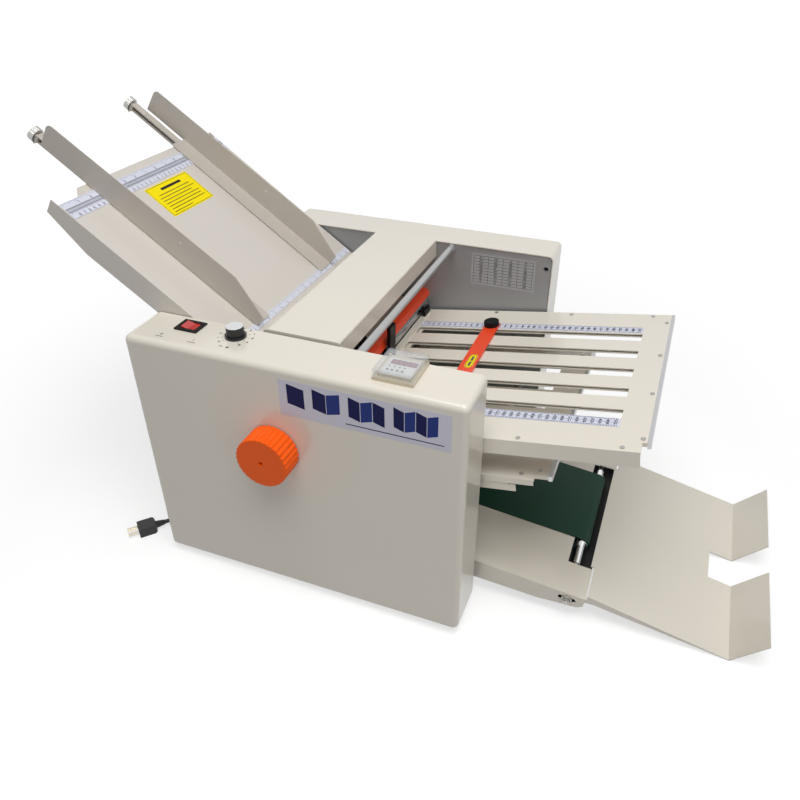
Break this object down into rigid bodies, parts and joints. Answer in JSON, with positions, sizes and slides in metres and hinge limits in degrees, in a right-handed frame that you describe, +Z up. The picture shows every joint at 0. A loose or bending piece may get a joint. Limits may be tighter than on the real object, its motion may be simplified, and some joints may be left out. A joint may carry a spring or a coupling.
{
  "type": "paper folding machine",
  "caption": "Desktop paper folding machine: sloping feed tray with side guides, fold rollers between two covers, slotted fold plates, belt conveyor and receiving tray.",
  "frame": {"origin": "under the middle of the machine, on the surface that its feet stand on", "axes": "+X along the paper's way from the feed tray to the receiving tray, +Y from the front cover with the hand knob to the rear cover, +Z up"},
  "size_m": [1.1686, 0.596, 0.6368],
  "materials": {
    "cream_paint": "gloss",
    "grey_steel": "satin",
    "bright_rod": "polished",
    "aluminium": "satin",
    "black_plastic": "matt",
    "black_rubber": "matt",
    "orange_knob": "gloss",
    "orange_paint": "satin",
    "green_belt": "matt",
    "scale_print": "matt",
    "cream_plastic": "satin",
    "clear_plastic": "clear",
    "motor_paint": "satin",
    "green_board": "satin",
    "gear_plastic": "satin",
    "zinc_steel": "satin",
    "rocker_red": "gloss"
  },
  "bodies": {
    "machine": {"front_cover": "cream_paint", "rear_cover": "cream_paint", "front_side_plate": "grey_steel", "rear_side_plate": "grey_steel", "base_plate": "cream_paint", "tie_rods": "bright_rod", "rubber_feet": "black_rubber", "feed_tray": "cream_paint", "scale_strips": "scale_print", "separator_bracket": "black_plastic", "separator_pad": "black_rubber", "roller_guard": "orange_paint", "plate_latches": "black_plastic", "upper_top_sheet": "cream_paint", "upper_bottom_sheet": "cream_paint", "plate_screws": "zinc_steel", "plate_end_bars": "aluminium", "left_fold_plates": "cream_paint", "lower_top_sheet": "cream_paint", "lower_bottom_sheet": "cream_paint", "conveyor_frame": "cream_paint", "end_axle": "zinc_steel", "conveyor_belt": "green_belt", "shaft_bearings": "grey_steel", "drive_motor": "motor_paint", "drive_belts": "black_rubber", "control_board": "green_board", "switch_bezel": "black_plastic", "counter_base": "cream_plastic", "cord_gland": "black_plastic", "cord_lead_in": "black_rubber", "cord_coil": "black_rubber", "cord_lead_out": "black_rubber", "cord_plug": "black_plastic"},
    "hood": {"hood": "cream_paint"},
    "feed": {"hand_knob": "orange_knob", "feed_shaft": "bright_rod", "feed_wheel": "black_rubber", "feed_gear": "gear_plastic"},
    "roller_1": {"fold_roller_1": "grey_steel"},
    "roller_2": {"fold_roller_2": "grey_steel"},
    "roller_3": {"fold_roller_3": "grey_steel"},
    "roller_4": {"fold_roller_4": "grey_steel", "driven_pulley": "aluminium"},
    "roller_5": {"fold_roller_5": "grey_steel"},
    "roller_6": {"fold_roller_6": "grey_steel"},
    "motor_rotor": {"motor_pulley": "aluminium"},
    "conveyor_drive": {"conveyor_drive_roller": "grey_steel"},
    "conveyor_end": {"conveyor_end_roller": "bright_rod"},
    "rocker": {"rocker": "rocker_red"},
    "speed_dial": {"speed_dial": "black_plastic"},
    "counter_lid": {"counter_lid": "clear_plastic"},
    "guide_front": {"side_guide_front": "cream_paint"},
    "guide_rear": {"side_guide_rear": "cream_paint"},
    "screw_front": {"guide_screw_front": "zinc_steel"},
    "screw_rear": {"guide_screw_rear": "zinc_steel"},
    "stop_bar": {"stop_bar": "orange_paint"},
    "knob_front": {"stop_knob_front": "black_plastic"},
    "knob_rear": {"stop_knob_rear": "black_plastic"},
    "receiving_tray": {"receiving_tray": "cream_paint"}
  },
  "joints": [
    {"name": "roller_1_turn", "type": "hinge", "parent": "machine", "child": "roller_1", "pos_m": [-0.072, 0.01895, 0.2875], "axis": [0, 1, 0], "continuous": true},
    {"name": "roller_2_turn", "type": "hinge", "parent": "machine", "child": "roller_2", "pos_m": [-0.06645, 0.01895, 0.25162], "axis": [0, 1, 0], "continuous": true},
    {"name": "roller_3_turn", "type": "hinge", "parent": "machine", "child": "roller_3", "pos_m": [-0.08355, 0.01895, 0.2196], "axis": [0, 1, 0], "continuous": true},
    {"name": "roller_4_turn", "type": "hinge", "parent": "machine", "child": "roller_4", "pos_m": [-0.07799, 0.01895, 0.18373], "axis": [0, 1, 0], "continuous": true},
    {"name": "roller_5_turn", "type": "hinge", "parent": "machine", "child": "roller_5", "pos_m": [-0.09509, 0.01895, 0.15171], "axis": [0, 1, 0], "continuous": true},
    {"name": "roller_6_turn", "type": "hinge", "parent": "machine", "child": "roller_6", "pos_m": [-0.10139, 0.01895, 0.11596], "axis": [0, 1, 0], "continuous": true},
    {"name": "feed_turn", "type": "hinge", "parent": "machine", "child": "feed", "pos_m": [-0.1088, 0.01895, 0.276], "axis": [0, 1, 0], "continuous": true},
    {"name": "motor_turn", "type": "hinge", "parent": "machine", "child": "motor_rotor", "pos_m": [-0.2263, 0.01895, 0.09], "axis": [0, 1, 0], "continuous": true},
    {"name": "conveyor_drive_turn", "type": "hinge", "parent": "machine", "child": "conveyor_drive", "pos_m": [-0.13566, 0.01895, 0.08657], "axis": [0, 1, 0], "continuous": true},
    {"name": "conveyor_end_turn", "type": "hinge", "parent": "machine", "child": "conveyor_end", "pos_m": [0.30504, 0.01895, 0.03675], "axis": [0, 1, 0], "continuous": true},
    {"name": "hood_lift", "type": "hinge", "parent": "machine", "child": "hood", "pos_m": [-0.0533, 0.01895, 0.4], "axis": [0, 1, 0], "range_deg": [0, 80]},
    {"name": "rocker_press", "type": "hinge", "parent": "machine", "child": "rocker", "pos_m": [-0.2583, -0.20545, 0.406], "axis": [0, 1, 0], "range_deg": [-16, 0]},
    {"name": "dial_turn", "type": "hinge", "parent": "machine", "child": "speed_dial", "pos_m": [-0.1843, -0.20695, 0.409], "axis": [0, 0, 1], "range_deg": [-135, 135]},
    {"name": "counter_lid_lift", "type": "hinge", "parent": "machine", "child": "counter_lid", "pos_m": [0.0612, -0.18665, 0.4165], "axis": [-1, 0, 0], "range_deg": [0, 90]},
    {"name": "guide_front_slide", "type": "slide", "parent": "machine", "child": "guide_front", "axis": [0, 1, 0], "range_m": [-0.038, 0.07]},
    {"name": "guide_rear_slide", "type": "slide", "parent": "machine", "child": "guide_rear", "axis": [0, 1, 0], "range_m": [-0.07, 0.038]},
    {"name": "screw_front_turn", "type": "hinge", "parent": "guide_front", "child": "screw_front", "pos_m": [-0.5701, -0.09055, 0.61417], "axis": [0.8192, 0, -0.5736], "continuous": true},
    {"name": "screw_rear_turn", "type": "hinge", "parent": "guide_rear", "child": "screw_rear", "pos_m": [-0.5701, 0.12845, 0.61417], "axis": [0.8192, 0, -0.5736], "continuous": true},
    {"name": "stop_bar_slide", "type": "slide", "parent": "machine", "child": "stop_bar", "axis": [0.9882, 0, 0.153], "range_m": [-0.09, 0.225]},
    {"name": "knob_front_turn", "type": "hinge", "parent": "stop_bar", "child": "knob_front", "pos_m": [0.08603, -0.11105, 0.29747], "axis": [-0.153, 0, 0.9882], "range_deg": [0, 180]},
    {"name": "knob_rear_turn", "type": "hinge", "parent": "stop_bar", "child": "knob_rear", "pos_m": [0.08603, 0.14895, 0.29747], "axis": [-0.153, 0, 0.9882], "range_deg": [0, 180]},
    {"name": "receiving_tray_lift", "type": "hinge", "parent": "machine", "child": "receiving_tray", "pos_m": [0.3257, 0.01895, 0.039], "axis": [0, -1, 0], "range_deg": [0, 20]}
  ],
  "couplings": [
    {"joint": "roller_2_turn", "follows": "roller_1_turn", "ratio": -1},
    {"joint": "roller_3_turn", "follows": "roller_1_turn", "ratio": 1},
    {"joint": "roller_4_turn", "follows": "roller_1_turn", "ratio": -1},
    {"joint": "roller_5_turn", "follows": "roller_1_turn", "ratio": 1},
    {"joint": "roller_6_turn", "follows": "roller_1_turn", "ratio": -1},
    {"joint": "feed_turn", "follows": "roller_1_turn", "ratio": -0.88889},
    {"joint": "motor_turn", "follows": "roller_1_turn", "ratio": -2.3333},
    {"joint": "conveyor_drive_turn", "follows": "roller_1_turn", "ratio": -1},
    {"joint": "conveyor_end_turn", "follows": "roller_1_turn", "ratio": -1}
  ]
}
